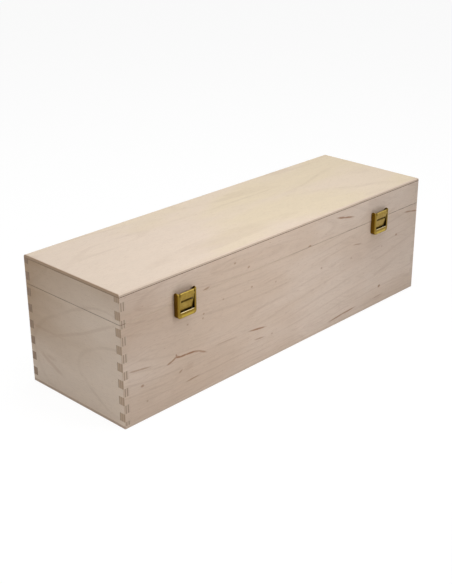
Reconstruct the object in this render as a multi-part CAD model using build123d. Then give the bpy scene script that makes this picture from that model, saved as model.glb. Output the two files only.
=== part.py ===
"""Finger-jointed plywood wine box with a hinged lid and two snap latches.

All sizes are in millimetres. X runs along the box, -Y is the front with the
latches, +Y the back with the hinges, and +Z is up. The origin is the centre of
the underside. "Depth" of a latch is how far a point stands out from the front
of the box, and its heights are counted from the parting line.
"""
from build123d import *
import math
import os

# Box
BOX_LENGTH = 430.0      # outside, along X
BOX_DEPTH = 132.0       # outside, front to back
BODY_HEIGHT = 101.0     # underside to parting line
LID_HEIGHT = 28.0       # parting line to the top of the lid
WALL = 6.5              # five-ply boards of the frame
PANEL = 3.0             # thin plywood of the bottom and the top
FINGER = 8.2            # width of one finger of the corner combs, which start with half a finger
SAW_KERF = 0.6          # lost when the glued frame was sawn into body and lid
SHORTEST_FINGER = 0.2   # a thinner remainder of a finger is left on its neighbour
CORNER_EASE = 0.5       # bevel of the upright corners
RIM_EASE = 0.3          # bevel along the parting line and the underside
TOP_ROUND = 2.0         # radius of the lid's top edges

# Screws: countersunk, their heads flush with the plate that they hold
SCREW_HEAD_RADIUS = 1.6
SCREW_SHANK_RADIUS = 0.8
SCREW_SIDES = 12        # the screws are small and many, so they are drawn with flat sides
SCREW_COVER = 1.3       # wood left beyond the end of the shank
PILOT_CLEARANCE = 0.05  # round the shank, in the wood and in the plate

# Hinges on the back
HINGE_INSET = 75.0      # centre of a hinge from the end of the box
HINGE_LENGTH = 25.0
HINGE_SHEET = 0.8       # leaf thickness
HINGE_PIN_RADIUS = 0.8
HINGE_STAND_OFF = 0.1   # knuckle to the wood
HINGE_RUNNING = 0.05    # knuckle bore round the pin
HINGE_KNUCKLES = 3
KNUCKLE_GAP = 0.2       # between neighbouring knuckles, and round them
LEAF_HEIGHT = 10.5      # pin axis to the leaf's far edge
LEAF_CORNER = 1.5
LEAF_SCREW_HEIGHT = 6.2  # pin axis to the screws
LEAF_SCREW_SPACING = 15.0
PIN_OVERHANG = 0.3      # pin beyond the outer knuckles

# Latch flaps: pressed sheet, hinged at the top, lying over the parting line
LATCH_INSET = 73.0      # centre of a latch from the end of the box
LATCH_SHEET = 0.7
FLAP_WIDTH = 23.0
FLAP_RISE = 10.5        # top of the flap above the parting line
FLAP_DROP = 14.5        # bottom of the flap below it
FLAP_FRONT = 5.6        # depth of the front face
FLAP_BACK = 0.5         # depth of the back edge of the cheeks
FLAP_CORNER = 3.2       # radius of the bottom corners, seen from the front
FLAP_EDGE = 1.0         # radius where the front rolls into the cheeks and the bottom
RAIL_WIDTH = 2.6        # front strips beside the window
PANEL_ROLL = 0.6        # radius of the top edge between the ears
PANEL_DIP = 0.8         # that edge below the top of the ears
EAR_SLIT_WIDTH = 1.0
EAR_SLIT_LENGTH = 4.0
WINDOW_TOP = 5.6        # above the parting line
LIP_TOP = -8.7          # upper edge of the lip, the lower edge of the window
LIP_ROLL = 0.6          # radius of that edge

# Spring tongue in the flap's window
TONGUE_SINK = 2.2       # its tip behind the front face
TONGUE_TIP = -8.5       # height of the tip
TONGUE_GAP_TOP = 0.4    # to the rails, at the root
TONGUE_GAP_TIP = 1.1    # to the rails, at the tip
TONGUE_ROOT = 0.4       # length of tongue inside the sheet above the window
SLOT_MARGIN = 0.7       # tongue left at each end of the slot
SLOT_BELOW = 0.15       # slot below the nose
SLOT_ABOVE = 1.2        # slot above the nose

# Catch plate on the body and its nose
CATCH_WIDTH = 18.8
CATCH_TOP = -0.8
CATCH_BOTTOM = -13.0
CATCH_CORNER = 1.5
CATCH_SCREW_HEIGHT = -7.5
CATCH_SCREW_SPACING = 11.0
NOSE_WIDTH = 11.0
NOSE_TOP = 1.1
NOSE_SINK = 0.5         # tip of the nose behind the tongue's front face
NOSE_BEND = 0.3         # inner radius of the bend

# Bracket on the lid and the latch pin
BRACKET_BOTTOM = 2.0
BRACKET_TOP = 6.9
BRACKET_CORNER = 1.0
BRACKET_SCREW_HEIGHT = 4.3
BRACKET_SCREW_SPACING = 11.0
EAR_GAP = 0.2           # bracket ear to flap cheek
EAR_CLEARANCE = 0.05    # bracket ear to the inside of the flap's front
LATCH_PIN_RADIUS = 0.65
LATCH_RUNNING = 0.05    # cheek hole round the pin

# Worked out from the sizes above
FRAME_TOP = BODY_HEIGHT + LID_HEIGHT - PANEL
COMB_START = PANEL - FINGER / 2
HINGE_KNUCKLE_RADIUS = HINGE_PIN_RADIUS + HINGE_RUNNING + HINGE_SHEET
HINGE_AXIS_OUT = HINGE_KNUCKLE_RADIUS + HINGE_STAND_OFF
KNUCKLE_LENGTH = (HINGE_LENGTH - (HINGE_KNUCKLES - 1) * KNUCKLE_GAP) / HINGE_KNUCKLES
KNUCKLE_PITCH = KNUCKLE_LENGTH + KNUCKLE_GAP
PIVOT_DEPTH = (FLAP_BACK + FLAP_FRONT) / 2
CHEEK_RADIUS = (FLAP_FRONT - FLAP_BACK) / 2
PIVOT_HEIGHT = FLAP_RISE - CHEEK_RADIUS
WINDOW_HALF = FLAP_WIDTH / 2 - RAIL_WIDTH
TONGUE_SLOPE = TONGUE_SINK / (WINDOW_TOP - TONGUE_TIP)
NOSE_BOTTOM = NOSE_TOP - LATCH_SHEET
NOSE_REACH = FLAP_FRONT - TONGUE_SLOPE * (WINDOW_TOP - NOSE_TOP) - NOSE_SINK
EAR_OUTER = FLAP_WIDTH / 2 - LATCH_SHEET - EAR_GAP
EAR_RADIUS = FLAP_FRONT - LATCH_SHEET - PIVOT_DEPTH - EAR_CLEARANCE
SCREW_IN_WOOD = WALL - SCREW_COVER

LONG_BOARDS = 1         # fingers of the front and back, counted from the start of the comb
END_BOARDS = 0          # fingers of the ends
SIDES = {"left": -1, "right": 1}


# ---------------------------------------------------------------- plywood frame

def finger_spans(low, high, base, boards):
    """Lower and upper heights of one set of fingers between low and high."""
    spans = []
    for number in range(math.ceil((high - base) / FINGER)):
        bottom = max(low, base + number * FINGER)
        top = min(high, base + (number + 1) * FINGER)
        if number % 2 == boards and top - bottom > SHORTEST_FINGER:
            spans.append((bottom, top))
    return spans


def comb_outline(length, low, high, notches):
    """Board seen from its broad side, with the notches cut into both ends."""
    outline = Pos(0, (low + high) / 2) * Rectangle(length, high - low)
    for bottom, top in notches:
        for end in SIDES.values():
            place = Pos(end * (length - WALL) / 2, (bottom + top) / 2)
            outline -= place * Rectangle(WALL, top - bottom)
    return outline


def frame_boards(low, high, base, envelope):
    """Front, back, left and right boards of one glued frame, eased outside."""
    end_fingers = finger_spans(low, high, base, END_BOARDS)
    long_fingers = finger_spans(low, high, base, LONG_BOARDS)
    long_outline = comb_outline(BOX_LENGTH, low, high, end_fingers)
    end_outline = comb_outline(BOX_DEPTH, low, high, long_fingers)
    front = extrude(Plane.XZ.offset(BOX_DEPTH / 2 - WALL) * long_outline, WALL)
    back = extrude(Plane.XZ.offset(-BOX_DEPTH / 2) * long_outline, WALL)
    left = extrude(Plane.YZ.offset(-BOX_LENGTH / 2) * end_outline, WALL)
    right = extrude(Plane.YZ.offset(BOX_LENGTH / 2 - WALL) * end_outline, WALL)
    return [board & envelope for board in (front, back, left, right)]


def outer_block(low, high):
    """Outside of the body or the lid as one block, not yet eased."""
    return Pos(0, 0, (low + high) / 2) * Box(BOX_LENGTH, BOX_DEPTH, high - low)


def bevelled(block):
    """Block with its upright corners bevelled."""
    return chamfer(block.edges().filter_by(Axis.Z), CORNER_EASE)


def body_envelope():
    """Body block with its rim and its underside bevelled."""
    block = bevelled(outer_block(0, BODY_HEIGHT))
    faces = block.faces().sort_by(Axis.Z)
    return chamfer(faces[0].edges() + faces[-1].edges(), RIM_EASE)


def lid_envelope():
    """Lid block with a bevelled rim and rounded top edges."""
    block = outer_block(BODY_HEIGHT, BODY_HEIGHT + LID_HEIGHT)
    rounded = fillet(block.faces().sort_by(Axis.Z)[-1].edges(), TOP_ROUND)
    eased = bevelled(block)
    return rounded & chamfer(eased.faces().sort_by(Axis.Z)[0].edges(), RIM_EASE)


def panel(low, envelope):
    """Thin board that covers the whole frame."""
    board = Pos(0, 0, low + PANEL / 2) * Box(BOX_LENGTH, BOX_DEPTH, PANEL)
    return board & envelope


# ---------------------------------------------------------------------- screws

def flat_ring(radius, height):
    """Corners of a screw's section."""
    return [Vector(place.position.X, place.position.Y, height)
            for place in PolarLocations(radius, SCREW_SIDES)]


def screw_head(plate):
    """Countersunk head as deep as its plate, with its top at zero; also the plate's seat for it."""
    rim = flat_ring(SCREW_HEAD_RADIUS, 0)
    neck = flat_ring(SCREW_SHANK_RADIUS, -plate)
    rings = [rim, neck] + [[rim[corner - 1], rim[corner], neck[corner], neck[corner - 1]]
                           for corner in range(SCREW_SIDES)]
    return Solid(Shell([Face(Wire.make_polygon(ring)) for ring in rings]))


def shank(plate, clearance):
    """Shank in the wood behind a plate, or with a clearance the pilot hole for it."""
    section = Pos(0, 0, -plate) * RegularPolygon(SCREW_SHANK_RADIUS + clearance, SCREW_SIDES)
    return extrude(section, -(SCREW_IN_WOOD + clearance))


def front_screw_places(centre_x, height, spacing):
    """Head positions of a pair of screws in the front, pointing out of the box."""
    out = -BOX_DEPTH / 2 - LATCH_SHEET
    return [Pos(centre_x + side * spacing / 2, out, BODY_HEIGHT + height) * Rot(X=90)
            for side in SIDES.values()]


def back_screw_places(centre_x, height):
    """Head positions of a pair of screws in the back, pointing out of the box."""
    out = BOX_DEPTH / 2 + HINGE_SHEET
    return [Pos(centre_x + side * LEAF_SCREW_SPACING / 2, out, BODY_HEIGHT + height) * Rot(X=-90)
            for side in SIDES.values()]


def catch_screw_places():
    """Places of the screws of both catch plates."""
    return [place for side in SIDES.values()
            for place in front_screw_places(latch_x(side), CATCH_SCREW_HEIGHT, CATCH_SCREW_SPACING)]


def bracket_screw_places():
    """Places of the screws of both latch brackets."""
    return [place for side in SIDES.values()
            for place in front_screw_places(latch_x(side), BRACKET_SCREW_HEIGHT, BRACKET_SCREW_SPACING)]


def leaf_screw_places(up):
    """Places of the screws of both lid leaves (up is 1) or body leaves (up is -1)."""
    return [place for side in SIDES.values()
            for place in back_screw_places(hinge_x(side), up * LEAF_SCREW_HEIGHT)]


def drilled(board, places, plate):
    """Board with a pilot hole behind every screw."""
    for place in places:
        board -= place * shank(plate, PILOT_CLEARANCE)
    return board


# ---------------------------------------------------------------------- hinges

def hinge_x(side):
    """Middle of a hinge along the box."""
    return side * (BOX_LENGTH / 2 - HINGE_INSET)


def hinge_axis_place(centre_x):
    """Middle of a hinge's pin."""
    return Pos(centre_x, BOX_DEPTH / 2 + HINGE_AXIS_OUT, BODY_HEIGHT)


def barrel(radius, length):
    """Cylinder along X about the middle."""
    return Rot(Y=90) * Cylinder(radius, length)


def knuckle_places(first):
    """Middles of every second knuckle on a hinge's pin, from number first."""
    middle = (HINGE_KNUCKLES - 1) / 2
    return [Pos((number - middle) * KNUCKLE_PITCH, 0, 0)
            for number in range(first, HINGE_KNUCKLES, 2)]


def hinge_leaf(side, up):
    """Leaf rolled round the pin: up is 1 for the lid's leaf and -1 for the body's."""
    own = 0 if up < 0 else 1
    relief = 2 * (HINGE_KNUCKLE_RADIUS + KNUCKLE_GAP)
    outline = Pos(0, up * LEAF_HEIGHT / 2) * Rectangle(HINGE_LENGTH, LEAF_HEIGHT)
    outline = fillet(outline.vertices().sort_by(Axis.Y)[::up][-2:], LEAF_CORNER)
    wood_side = Plane.XZ.offset(HINGE_AXIS_OUT)
    leaf = extrude(wood_side * outline, -HINGE_SHEET)
    for space in knuckle_places(1 - own):
        leaf -= space * Box(KNUCKLE_LENGTH + 2 * KNUCKLE_GAP, relief, relief)
    for place in knuckle_places(own):
        leaf += place * barrel(HINGE_KNUCKLE_RADIUS, KNUCKLE_LENGTH)
    leaf -= barrel(HINGE_PIN_RADIUS + HINGE_RUNNING, HINGE_LENGTH)
    leaf = hinge_axis_place(hinge_x(side)) * leaf
    for place in back_screw_places(hinge_x(side), up * LEAF_SCREW_HEIGHT):
        leaf -= place * screw_head(HINGE_SHEET)
    return leaf


def hinge_pin(side):
    """Pin through all knuckles of a hinge."""
    pin = barrel(HINGE_PIN_RADIUS, HINGE_LENGTH + 2 * PIN_OVERHANG)
    return hinge_axis_place(hinge_x(side)) * pin


# --------------------------------------------------------------------- latches

def latch_x(side):
    """Middle of a latch along the box."""
    return side * (BOX_LENGTH / 2 - LATCH_INSET)


def latch_place(side):
    """Where a latch's own frame lies: the parting line on the front of the box."""
    return Pos(latch_x(side), -BOX_DEPTH / 2, BODY_HEIGHT)


def slab(half_width, low, high, near, far):
    """Block across a latch, between two heights and two depths."""
    middle = Pos(0, -(near + far) / 2, (low + high) / 2)
    return middle * Box(2 * half_width, far - near, high - low)


def across(points, half_width):
    """Prism across a latch from (depth, height) corners."""
    outline = make_face(Polyline(*[(-depth, height) for depth, height in points], close=True))
    return extrude(Plane.YZ * outline, half_width, both=True)


def pivot_barrel(radius, length):
    """Cylinder about the latch pin's axis."""
    return Pos(0, -PIVOT_DEPTH, PIVOT_HEIGHT) * barrel(radius, length)


def tray(inset, back, top):
    """Flap as a block that is rounded at the front, moved in by inset on its closed sides."""
    low = inset - FLAP_DROP
    outline = Pos(0, (low + top) / 2) * Rectangle(FLAP_WIDTH - 2 * inset, top - low)
    outline = fillet(outline.vertices().group_by(Axis.Y)[0], FLAP_CORNER - inset)
    block = extrude(Plane.XZ.offset(back) * outline, FLAP_FRONT - inset - back)
    front_edges = block.faces().sort_by(Axis.Y)[0].edges().sort_by(Axis.Z)
    return fillet(front_edges[:-1], FLAP_EDGE - inset)


def flap_shell():
    """Flap's sheet, open at the back and at the top, with its ears rounded about the pin."""
    shell = tray(0, FLAP_BACK, FLAP_RISE)
    shell -= tray(LATCH_SHEET, 0, FLAP_RISE + CHEEK_RADIUS)
    ear_inner = WINDOW_HALF + EAR_SLIT_WIDTH / 2
    for side in SIDES.values():
        corner = Pos(side * (ear_inner + RAIL_WIDTH / 2), -PIVOT_DEPTH, PIVOT_HEIGHT + CHEEK_RADIUS)
        shell -= corner * Box(RAIL_WIDTH, 2 * CHEEK_RADIUS, 2 * CHEEK_RADIUS) - pivot_barrel(
            CHEEK_RADIUS, 2 * FLAP_WIDTH)
        slit = Pos(side * WINDOW_HALF, -FLAP_FRONT, FLAP_RISE)
        shell -= slit * Box(EAR_SLIT_WIDTH, 2 * CHEEK_RADIUS, 2 * EAR_SLIT_LENGTH)
    shell -= slab(WINDOW_HALF, FLAP_RISE - PANEL_DIP, FLAP_RISE + 1, 0, FLAP_FRONT)
    top_edge = shell.edges().filter_by(Axis.X).sort_by_distance((0, -FLAP_FRONT, FLAP_RISE - PANEL_DIP))
    return fillet(top_edge[0], PANEL_ROLL)


def tongue():
    """Spring tongue: it sinks and narrows towards its tip and has the catch's slot."""
    tip_front = FLAP_FRONT - TONGUE_SINK
    strip = across([
        (FLAP_FRONT, WINDOW_TOP + TONGUE_ROOT), (FLAP_FRONT - LATCH_SHEET, WINDOW_TOP + TONGUE_ROOT),
        (FLAP_FRONT - LATCH_SHEET, WINDOW_TOP), (tip_front - LATCH_SHEET, TONGUE_TIP),
        (tip_front, TONGUE_TIP), (FLAP_FRONT, WINDOW_TOP)], WINDOW_HALF)
    root = WINDOW_HALF - TONGUE_GAP_TOP
    tip = WINDOW_HALF - TONGUE_GAP_TIP
    outline = Polyline(
        (-root, WINDOW_TOP + TONGUE_ROOT), (-tip, TONGUE_TIP), (tip, TONGUE_TIP),
        (root, WINDOW_TOP + TONGUE_ROOT), close=True)
    blank = strip & extrude(Plane.XZ * make_face(outline), FLAP_FRONT)
    slot_half = tip - SLOT_MARGIN
    return blank - slab(slot_half, NOSE_BOTTOM - SLOT_BELOW, NOSE_TOP + SLOT_ABOVE, 0, FLAP_FRONT)


def latch_flap(side):
    """Pressed flap: shell, window, spring tongue and pin holes in the cheeks."""
    flap = flap_shell()
    flap -= slab(WINDOW_HALF, LIP_TOP, WINDOW_TOP, 0, FLAP_FRONT)
    lip_edge = flap.edges().filter_by(Axis.X).sort_by_distance((0, -FLAP_FRONT, LIP_TOP))[0]
    flap = fillet(lip_edge, LIP_ROLL)
    flap += tongue()
    flap -= pivot_barrel(LATCH_PIN_RADIUS + LATCH_RUNNING, 2 * FLAP_WIDTH)
    return latch_place(side) * flap


def latch_bracket(side):
    """Plate screwed to the lid, with an ear at each end that carries the pin."""
    outline = Pos(0, (BRACKET_BOTTOM + BRACKET_TOP) / 2) * Rectangle(
        2 * EAR_OUTER, BRACKET_TOP - BRACKET_BOTTOM)
    outline = fillet(outline.vertices().group_by(Axis.Y)[0], BRACKET_CORNER)
    bracket = extrude(Plane.XZ * outline, LATCH_SHEET)
    root = Pos(-LATCH_SHEET / 2, (BRACKET_BOTTOM + BRACKET_CORNER + BRACKET_TOP) / 2) * Rectangle(
        LATCH_SHEET, BRACKET_TOP - BRACKET_BOTTOM - BRACKET_CORNER)
    eye = Pos(-PIVOT_DEPTH, PIVOT_HEIGHT) * Circle(EAR_RADIUS)
    ear_outline = make_hull(root.edges() + eye.edges())
    for end in SIDES.values():
        outer_face = Plane.YZ.offset(end * EAR_OUTER)
        bracket += extrude(outer_face * ear_outline, -end * LATCH_SHEET)
    bracket -= pivot_barrel(LATCH_PIN_RADIUS, 2 * FLAP_WIDTH)
    bracket = latch_place(side) * bracket
    for place in front_screw_places(latch_x(side), BRACKET_SCREW_HEIGHT, BRACKET_SCREW_SPACING):
        bracket -= place * screw_head(LATCH_SHEET)
    return bracket


def latch_pin(side):
    """Pin from cheek to cheek, held by the bracket's ears."""
    return latch_place(side) * pivot_barrel(LATCH_PIN_RADIUS, FLAP_WIDTH)


def catch_nose():
    """Tab of the catch plate that rises over the parting line and bends outwards."""
    root = CATCH_TOP - CATCH_CORNER
    outline = make_face(Polyline(
        (0, root), (-LATCH_SHEET, root), (-LATCH_SHEET, NOSE_BOTTOM), (-NOSE_REACH, NOSE_BOTTOM),
        (-NOSE_REACH, NOSE_TOP), (0, NOSE_TOP), close=True))
    inner_bend = outline.vertices().sort_by_distance((-LATCH_SHEET, NOSE_BOTTOM))[0]
    outline = fillet(inner_bend, NOSE_BEND)
    outer_bend = outline.vertices().sort_by_distance((0, NOSE_TOP))[0]
    outline = fillet(outer_bend, NOSE_BEND + LATCH_SHEET)
    return extrude(Plane.YZ * outline, NOSE_WIDTH / 2, both=True)


def catch_plate(side):
    """Plate screwed to the body under the flap, with the nose on its upper edge."""
    outline = Pos(0, (CATCH_BOTTOM + CATCH_TOP) / 2) * RectangleRounded(
        CATCH_WIDTH, CATCH_TOP - CATCH_BOTTOM, CATCH_CORNER)
    plate = latch_place(side) * (extrude(Plane.XZ * outline, LATCH_SHEET) + catch_nose())
    for place in front_screw_places(latch_x(side), CATCH_SCREW_HEIGHT, CATCH_SCREW_SPACING):
        plate -= place * screw_head(LATCH_SHEET)
    return plate


# -------------------------------------------------------------------- assembly

def body_pieces():
    """Boards of the lower box, by name."""
    envelope = body_envelope()
    front, back, left, right = frame_boards(PANEL, BODY_HEIGHT, COMB_START, envelope)
    return {
        "front_wall": drilled(front, catch_screw_places(), LATCH_SHEET),
        "back_wall": drilled(back, leaf_screw_places(-1), HINGE_SHEET),
        "left_end_wall": left,
        "right_end_wall": right,
        "bottom_panel": panel(0, envelope),
    }


def lid_pieces():
    """Boards of the lid, by name; the comb carries on above the saw cut."""
    envelope = lid_envelope()
    front, back, left, right = frame_boards(BODY_HEIGHT, FRAME_TOP, COMB_START - SAW_KERF, envelope)
    return {
        "lid_front_rail": drilled(front, bracket_screw_places(), LATCH_SHEET),
        "lid_back_rail": drilled(back, leaf_screw_places(1), HINGE_SHEET),
        "lid_left_rail": left,
        "lid_right_rail": right,
        "lid_top_panel": panel(FRAME_TOP, envelope),
    }


def hardware_pieces():
    """Hinges and latches of both sides, by name."""
    pieces = {}
    for name, side in SIDES.items():
        pieces[f"{name}_hinge_body_leaf"] = hinge_leaf(side, -1)
        pieces[f"{name}_hinge_lid_leaf"] = hinge_leaf(side, 1)
        pieces[f"{name}_hinge_pin"] = hinge_pin(side)
        pieces[f"{name}_latch_flap"] = latch_flap(side)
        pieces[f"{name}_latch_bracket"] = latch_bracket(side)
        pieces[f"{name}_latch_pin"] = latch_pin(side)
        pieces[f"{name}_catch_plate"] = catch_plate(side)
    return pieces


def screw_groups():
    """Equal screws that hold the same kind of plate, as one group each."""
    groups = {
        "catch_plate_screws": (catch_screw_places(), LATCH_SHEET),
        "latch_bracket_screws": (bracket_screw_places(), LATCH_SHEET),
        "hinge_body_screws": (leaf_screw_places(-1), HINGE_SHEET),
        "hinge_lid_screws": (leaf_screw_places(1), HINGE_SHEET),
    }
    return {name: Compound([place * (screw_head(plate) + shank(plate, 0)) for place in places])
            for name, (places, plate) in groups.items()}


def main():
    """Write every piece to its own file."""
    os.makedirs("parts", exist_ok=True)
    pieces = body_pieces() | lid_pieces() | hardware_pieces() | screw_groups()
    for name, shape in pieces.items():
        export_step(shape, f"parts/{name}.step")


if __name__ == "__main__":
    main()
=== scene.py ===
"""Looks of a finger-jointed plywood wine box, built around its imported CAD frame.

The box lies along X with its latches towards -Y. Every length is in metres. The boards, hinges and
latches keep their CAD shapes and get procedural finishes: birch plywood whose veneer, growth rings,
flecks and edge plies follow each board's own grain, and yellow brass-plated sheet.
"""

import logging
import math
from dataclasses import dataclass, field
from enum import Enum

import bpy
import numpy as np
from mathutils import Euler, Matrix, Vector


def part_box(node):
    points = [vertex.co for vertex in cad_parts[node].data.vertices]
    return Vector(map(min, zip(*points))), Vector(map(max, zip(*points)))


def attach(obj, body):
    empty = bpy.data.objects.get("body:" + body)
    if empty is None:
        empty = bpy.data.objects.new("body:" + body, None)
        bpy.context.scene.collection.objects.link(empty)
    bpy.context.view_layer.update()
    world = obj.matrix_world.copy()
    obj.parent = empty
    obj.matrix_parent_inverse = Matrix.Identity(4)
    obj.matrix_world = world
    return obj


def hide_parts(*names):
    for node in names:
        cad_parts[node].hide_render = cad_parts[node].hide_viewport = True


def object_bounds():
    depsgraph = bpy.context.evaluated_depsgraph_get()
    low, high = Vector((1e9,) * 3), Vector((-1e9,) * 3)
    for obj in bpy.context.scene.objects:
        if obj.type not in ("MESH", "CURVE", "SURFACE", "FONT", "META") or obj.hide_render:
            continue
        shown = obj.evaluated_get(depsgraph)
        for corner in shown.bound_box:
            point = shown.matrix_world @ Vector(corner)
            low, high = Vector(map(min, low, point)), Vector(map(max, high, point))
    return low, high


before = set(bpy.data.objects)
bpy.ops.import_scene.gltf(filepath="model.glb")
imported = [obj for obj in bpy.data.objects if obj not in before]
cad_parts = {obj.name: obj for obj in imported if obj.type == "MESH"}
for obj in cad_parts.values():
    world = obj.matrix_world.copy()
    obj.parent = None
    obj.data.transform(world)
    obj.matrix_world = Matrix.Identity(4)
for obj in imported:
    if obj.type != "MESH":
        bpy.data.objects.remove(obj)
CAD_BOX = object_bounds()

log = logging.getLogger("wine_box")
BOX_MIDDLE = tuple((low + high) / 2 for low, high in zip(*CAD_BOX))

MM = 0.001
LATCH_MIDDLE = 0.142        # of each latch, from the middle of the box

Socket = bpy.types.NodeSocket
Number = float | int
Input = Number | Socket
Colour = tuple[float, float, float]


class Axis(Enum):
    """Axes of the box: along its length, through its depth, and upwards."""

    X = 0
    Y = 1
    Z = 2


class Slot(Enum):
    """Material slots of the record."""

    BOARD = "board_plywood"
    PANEL = "thin_plywood"
    LATCH = "latch_brass"
    HINGE = "hinge_brass"
    FIXING = "brass_fixings"


# ------------------------------------------------------------------ node recipes

def srgb(red: Number, green: Number, blue: Number) -> Colour:
    """Linear colour of an sRGB triple on the 0 to 255 scale.

    Args:
        red, green, blue: display values.

    Returns:
        The linear triple that a shader socket takes.
    """
    shares = np.array([red, green, blue]) / 255
    linear = np.where(shares <= 0.04045, shares / 12.92, ((shares + 0.055) / 1.055) ** 2.4)
    return tuple(float(share) for share in linear)


class Recipe:
    """Shorthand for the node tree of one material."""

    def __init__(self, name: str) -> None:
        """Start an empty node tree.

        Args:
            name: the material's name.
        """
        self.material = bpy.data.materials.new(name)
        self.material.use_nodes = True
        self.tree = self.material.node_tree
        self.tree.nodes.clear()
        self.coordinates = self.tree.nodes.new("ShaderNodeTexCoord")

    @property
    def place(self) -> Socket:
        """Point on the piece in its own coordinates."""
        return self.coordinates.outputs["Object"]

    @property
    def normal(self) -> Socket:
        """Surface direction in the piece's own coordinates."""
        return self.coordinates.outputs["Normal"]

    def add(self, kind: str, inputs: dict[str | int, Input | tuple] | None = None, **options: object) -> bpy.types.Node:
        """Add a node and feed its inputs.

        Args:
            kind: Blender's name of the node type.
            inputs: values or sockets by input name or number.
            options: properties of the node.

        Returns:
            The new node.
        """
        node = self.tree.nodes.new(kind)
        for name, option in options.items():
            setattr(node, name, option)
        for key, value in (inputs or {}).items():
            if isinstance(value, Socket):
                self.tree.links.new(value, node.inputs[key])
            else:
                node.inputs[key].default_value = value
        return node

    def math(self, operation: str, first: Input, second: Input = 0.0, clamp: bool = False) -> Socket:
        """One step of arithmetic on two values."""
        return self.add("ShaderNodeMath", {0: first, 1: second}, operation=operation, use_clamp=clamp).outputs[0]

    def total(self, *values: Input) -> Socket:
        """Sum of all values."""
        result = values[0]
        for value in values[1:]:
            result = self.math("ADD", result, value)
        return result

    def scaled(self, value: Input, factor: Input) -> Socket:
        """Product of two values."""
        return self.math("MULTIPLY", value, factor)

    def band(self, value: Input, low: Number, high: Number) -> Socket:
        """Smooth step from 0 at low to 1 at high; low may be the greater."""
        limits = {"Value": value, "From Min": low, "From Max": high}
        return self.add("ShaderNodeMapRange", limits, interpolation_type="SMOOTHSTEP").outputs[0]

    def axes(self, vector: Socket) -> tuple[Socket, Socket, Socket]:
        """The three components of a vector."""
        parts = self.add("ShaderNodeSeparateXYZ", {0: vector}).outputs
        return parts[0], parts[1], parts[2]

    def stretched(self, vector: Socket, scale: tuple, shift: tuple = (0.0, 0.0, 0.0)) -> Socket:
        """Vector with its axes scaled, then shifted."""
        return self.add("ShaderNodeMapping", {"Vector": vector, "Scale": scale, "Location": shift}).outputs[0]

    def noise(self, vector: Socket, detail: Number = 2.0, roughness: Number = 0.5,
              distortion: Number = 0.0) -> Socket:
        """Cloud noise of about one lump per unit, around one half."""
        knobs = {"Vector": vector, "Scale": 1.0, "Detail": detail, "Roughness": roughness,
                 "Distortion": distortion}
        return self.add("ShaderNodeTexNoise", knobs).outputs["Fac"]

    def mix(self, factor: Input, first: Socket | Colour, second: Socket | Colour, blend: str = "MIX") -> Socket:
        """Blend two colours; a factor of 1 gives the second."""
        node = self.add("ShaderNodeMix", data_type="RGBA", blend_type=blend)
        for key, value in ((0, factor), (6, first), (7, second)):
            if isinstance(value, Socket):
                self.tree.links.new(value, node.inputs[key])
            else:
                node.inputs[key].default_value = (*value, 1.0) if key else value
        return node.outputs[2]

    def dot(self, vector: Socket, other: tuple[float, float, float]) -> Socket:
        """Component of a vector along another, times that one's length."""
        return self.add("ShaderNodeVectorMath", {0: vector, 1: other}, operation="DOT_PRODUCT").outputs["Value"]

    def length(self, vector: Socket) -> Socket:
        """Length of a vector."""
        return self.add("ShaderNodeVectorMath", {0: vector}, operation="LENGTH").outputs["Value"]

    def bump(self, height: Socket, distance: Number, strength: Number = 1.0) -> Socket:
        """Shading normal of a height field."""
        knobs = {"Height": height, "Distance": distance, "Strength": strength}
        return self.add("ShaderNodeBump", knobs).outputs[0]

    def finish(self, surface: Socket) -> bpy.types.Material:
        """Send a shader to the output.

        Args:
            surface: shader socket.

        Returns:
            The finished material.
        """
        self.add("ShaderNodeOutputMaterial", {"Surface": surface})
        return self.material


# ---------------------------------------------------------------------- plywood

# Dark brown for the glue line along a thin panel's inner face, and for the painted shade on the bevels along the
# parting line and the foot.
GLUE_AND_GROOVE_SHADE = srgb(104, 66, 36)


@dataclass(frozen=True)
class WoodTone:
    """Colours of one veneer, and which way it turns from one to the other."""

    pale: Colour
    warm: Colour
    fleck: Colour = srgb(152, 100, 56)
    ring: Colour = srgb(150, 114, 82)
    clouds: float = 1.0     # warm share that comes and goes at random
    bias: float = 0.0       # warm share in the middle of the box
    lean: tuple[float, float, float] = (0.0, 0.0, 0.0)   # growth of the warm share per metre


@dataclass(frozen=True)
class EdgeLook:
    """Colours of the plies on the cut edges that face one way."""

    odd: Colour
    even: Colour
    seam: float = 0.0       # share of the groove colour along the inner face


@dataclass(frozen=True)
class Figure:
    """Growth rings of a peeled veneer: contour lines of a smooth field, if need be round an eye."""

    length: float           # size of the field's lumps along the grain
    width: float            # and across it
    rings: float            # contour lines in the field's whole range
    contrast: float         # share of the ring colour in a ring
    slim: float = 0.55      # height on the field's sine wave at which a ring starts
    wander: float = 0.4     # unevenness of the field
    pitch: float = 4.6 * MM     # spacing of the fine lines along the grain
    fine: float = 0.0       # share of the ring colour in a fine line
    fibres: float = 0.10    # swing of the shade from fibre to fibre
    flecks: float = 0.5     # strength of the scattered brown flecks
    pores: float = 0.28     # and of the fine pores
    eye: tuple[float, float] | None = None   # middle of the eye, along and across the grain
    eye_size: tuple[float, float] = (20 * MM, 10 * MM)   # half axes of its first ring


@dataclass(frozen=True)
class RimShade:
    """Shares of painted shade, in a dark brown, on the bevels along the parting line and the underside, where the
    joints and the foot would be in shade.
    """

    down: float = 0.2       # bevels that face downwards
    up: float = 0.0         # bevels that face upwards
    patchy: float = 0.0     # share of the line that is darker in some places only
    grow: tuple[float, float] = (-2.0, -1.0)   # where along the box it starts and has its full shade


@dataclass(frozen=True)
class Mark:
    """Brown streak or fleck on a face: a slim ellipse, ragged at its rim."""

    along: float            # place of its middle along the grain
    across: float           # and across it
    length: float           # half of its length
    width: float            # half of its width
    tilt: float = 0.0       # slope against the grain, as a fraction
    depth: float = 0.6      # how far it reaches its full colour


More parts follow.
